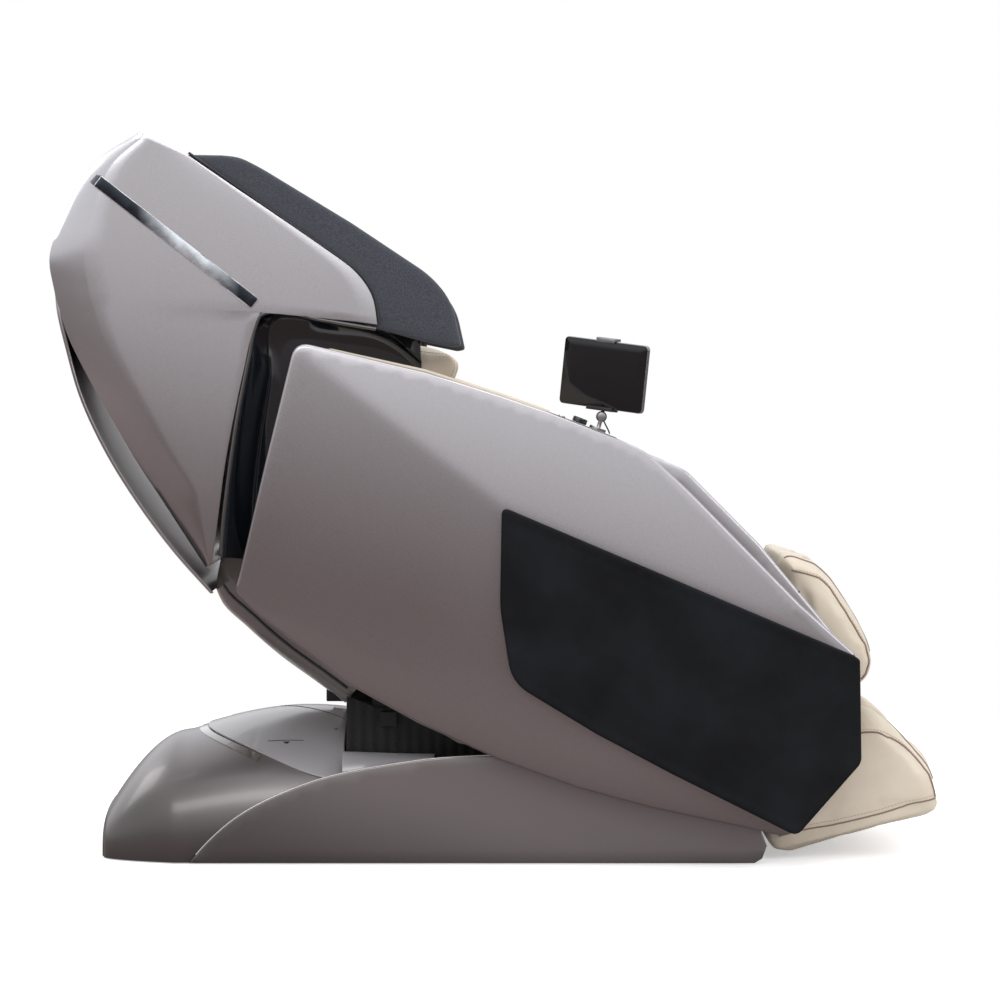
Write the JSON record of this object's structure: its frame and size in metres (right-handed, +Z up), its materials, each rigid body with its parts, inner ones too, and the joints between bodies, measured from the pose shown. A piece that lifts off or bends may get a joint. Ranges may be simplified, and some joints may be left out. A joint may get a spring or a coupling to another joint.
{
  "type": "massage chair",
  "caption": "Reclining full-body massage chair with a sliding seat pod on a floor base, a hooded back, a lifting leg rest and a tablet holder on the right arm.",
  "frame": {"origin": "on the floor under the middle of the chair", "axes": "+X to the sitter's front, +Y to the sitter's left, +Z up"},
  "size_m": [1.586, 0.84, 1.2845],
  "materials": {
    "shell_paint": "metallic mauve-grey lacquer, high gloss",
    "base_paint": "darker metallic taupe lacquer, high gloss",
    "dark_gloss": "piano-black gloss",
    "black_fabric": "charcoal grained soft-touch upholstery",
    "cream_leather": "cream synthetic leather, fine grain",
    "frame_steel": "black powder coat",
    "bright_steel": "bright zinc",
    "black_plastic": "satin black moulding",
    "screen_glass": "black display glass, switched off"
  },
  "bodies": {
    "base": {"base_frame": "frame_steel", "front_foot_bar": "black_plastic", "rear_foot_bar": "black_plastic", "base_side_cover_right": "base_paint", "base_side_cover_left": "base_paint", "base_rear_cover": "base_paint", "base_hatch": "base_paint", "base_front_cover": "base_paint", "power_unit": "black_plastic", "mains_panel": "black_plastic"},
    "wheel_right": {"transport_wheel_right": "black_plastic"},
    "wheel_left": {"transport_wheel_left": "black_plastic"},
    "mains_rocker": {"mains_switch": "black_plastic"},
    "carriage": {"slide_carriage": "frame_steel", "tilt_shaft": "bright_steel"},
    "tilt_tube": {"tilt_actuator": "black_plastic"},
    "tilt_rod": {"tilt_actuator_rod": "bright_steel"},
    "pod": {"seat_frame": "frame_steel", "seat_cushion": "cream_leather", "lower_shell": "base_paint", "leg_drive": "bright_steel", "arm_cover_right": "shell_paint", "arm_cover_left": "shell_paint", "arm_body_right": "shell_paint", "arm_body_left": "shell_paint", "arm_pad_right": "black_fabric", "arm_pad_left": "black_fabric", "control_panel": "dark_gloss", "tablet_stand": "black_plastic", "usb_cable": "black_plastic"},
    "power_key": {"power_button": "bright_steel"},
    "dial": {"control_dial": "dark_gloss"},
    "tablet_head": {"tablet_cradle": "black_plastic", "tablet": "screen_glass"},
    "tablet_clamp": {"tablet_jaw": "black_plastic"},
    "recline_tube": {"recline_actuator": "black_plastic"},
    "recline_rod": {"recline_actuator_rod": "bright_steel"},
    "backrest": {"back_frame": "frame_steel", "hood_shell": "shell_paint", "hood_strip_right": "dark_gloss", "hood_strip_left": "dark_gloss", "back_cover": "base_paint", "hood_pad_right": "black_fabric", "hood_pad_left": "black_fabric", "side_trim_right": "dark_gloss", "side_trim_left": "dark_gloss", "back_cushion": "cream_leather", "head_pillow": "cream_leather", "shoulder_pad_right": "cream_leather", "shoulder_pad_left": "cream_leather"},
    "massage_unit": {"massage_carriage": "black_plastic"},
    "knead_right": {"kneading_arm_right": "bright_steel"},
    "knead_left": {"kneading_arm_left": "bright_steel"},
    "roller_right": {"massage_roller_right": "black_plastic"},
    "roller_left": {"massage_roller_left": "black_plastic"},
    "leg": {"leg_frame": "frame_steel", "calf_unit": "cream_leather"},
    "foot": {"foot_unit": "cream_leather"},
    "sole": {"sole_roller": "black_plastic"}
  },
  "joints": [
    {"name": "seat_slide", "type": "slide", "parent": "base", "child": "carriage", "axis": [1, 0, 0], "range_m": [0, 0.15]},
    {"name": "pod_tilt", "type": "hinge", "parent": "carriage", "child": "pod", "pos_m": [-0.18, 0, 0.215], "axis": [0, -1, 0], "range_deg": [0, 15]},
    {"name": "tilt_actuator_swing", "type": "hinge", "parent": "carriage", "child": "tilt_tube", "pos_m": [0.1, 0, 0.135], "axis": [0, -1, 0], "range_deg": [0, 23.2]},
    {"name": "tilt_rod_slide", "type": "slide", "parent": "tilt_tube", "child": "tilt_rod", "axis": [0.7833, 0, 0.6217], "range_m": [0, 0.0688]},
    {"name": "back_recline", "type": "hinge", "parent": "pod", "child": "backrest", "pos_m": [-0.2, 0, 0.42], "axis": [0, -1, 0], "range_deg": [0, 23]},
    {"name": "recline_actuator_swing", "type": "hinge", "parent": "pod", "child": "recline_tube", "pos_m": [0.078, -0.075, 0.274], "axis": [0, -1, 0], "range_deg": [-1.3, 0]},
    {"name": "recline_rod_slide", "type": "slide", "parent": "recline_tube", "child": "recline_rod", "axis": [-0.9993, 0, 0.0375], "range_m": [-0.0545, 0]},
    {"name": "leg_lift", "type": "hinge", "parent": "pod", "child": "leg", "pos_m": [0.455, 0, 0.52], "axis": [0, -1, 0], "range_deg": [0, 75]},
    {"name": "foot_extend", "type": "slide", "parent": "leg", "child": "foot", "axis": [0, 0, -1], "range_m": [0, 0.12]},
    {"name": "sole_roller_spin", "type": "hinge", "parent": "foot", "child": "sole", "pos_m": [0.61, 0, 0.066], "axis": [0, 1, 0], "continuous": true},
    {"name": "massage_travel", "type": "slide", "parent": "backrest", "child": "massage_unit", "axis": [-0.3431, 0, 0.9393], "range_m": [-0.15, 0.34]},
    {"name": "knead_right_swing", "type": "hinge", "parent": "massage_unit", "child": "knead_right", "pos_m": [-0.38314, 0, 0.62991], "axis": [0, 1, 0], "range_deg": [-8, 8]},
    {"name": "knead_left_swing", "type": "hinge", "parent": "massage_unit", "child": "knead_left", "pos_m": [-0.38314, 0, 0.62991], "axis": [0, 1, 0], "range_deg": [-8, 8]},
    {"name": "roller_right_spin", "type": "hinge", "parent": "knead_right", "child": "roller_right", "pos_m": [-0.36117, 0, 0.68052], "axis": [0, 1, 0], "continuous": true},
    {"name": "roller_left_spin", "type": "hinge", "parent": "knead_left", "child": "roller_left", "pos_m": [-0.36117, 0, 0.68052], "axis": [0, 1, 0], "continuous": true},
    {"name": "wheel_right_spin", "type": "hinge", "parent": "base", "child": "wheel_right", "pos_m": [-0.6, 0, 0.0385], "axis": [0, 1, 0], "continuous": true},
    {"name": "wheel_left_spin", "type": "hinge", "parent": "base", "child": "wheel_left", "pos_m": [-0.6, 0, 0.0385], "axis": [0, 1, 0], "continuous": true},
    {"name": "mains_rocker_tip", "type": "hinge", "parent": "base", "child": "mains_rocker", "pos_m": [-0.688, 0, 0.042], "axis": [0, 1, 0], "range_deg": [-12, 12]},
    {"name": "power_key_press", "type": "slide", "parent": "pod", "child": "power_key", "axis": [-0.3573, 0, -0.934], "range_m": [0, 0.0015], "stiffness_N_per_m": 400, "springref_m": -0.0008},
    {"name": "dial_turn", "type": "hinge", "parent": "pod", "child": "dial", "pos_m": [0.14692, -0.335, 0.77035], "axis": [0.3573, 0, 0.934], "continuous": true},
    {"name": "tablet_tip", "type": "hinge", "parent": "pod", "child": "tablet_head", "pos_m": [0.1866, -0.335, 0.7815], "axis": [0, 1, 0], "range_deg": [-20, 20]},
    {"name": "tablet_clamp_slide", "type": "slide", "parent": "tablet_head", "child": "tablet_clamp", "axis": [0.0978, -0.0635, 0.9932], "range_m": [0, 0.03], "stiffness_N_per_m": 120, "springref_m": -0.01}
  ],
  "couplings": [
    {"joint": "pod_tilt", "follows": "seat_slide", "rad_per_m": 1.745},
    {"joint": "tilt_actuator_swing", "follows": "seat_slide", "rad_per_m": 2.699},
    {"joint": "tilt_rod_slide", "follows": "seat_slide", "ratio": 0.458},
    {"joint": "recline_actuator_swing", "follows": "back_recline", "ratio": -0.0509},
    {"joint": "recline_rod_slide", "follows": "back_recline", "m_per_rad": -0.1349},
    {"joint": "foot_extend", "follows": "leg_lift", "m_per_rad": 0.0916},
    {"joint": "knead_left_swing", "follows": "knead_right_swing", "ratio": -1}
  ]
}
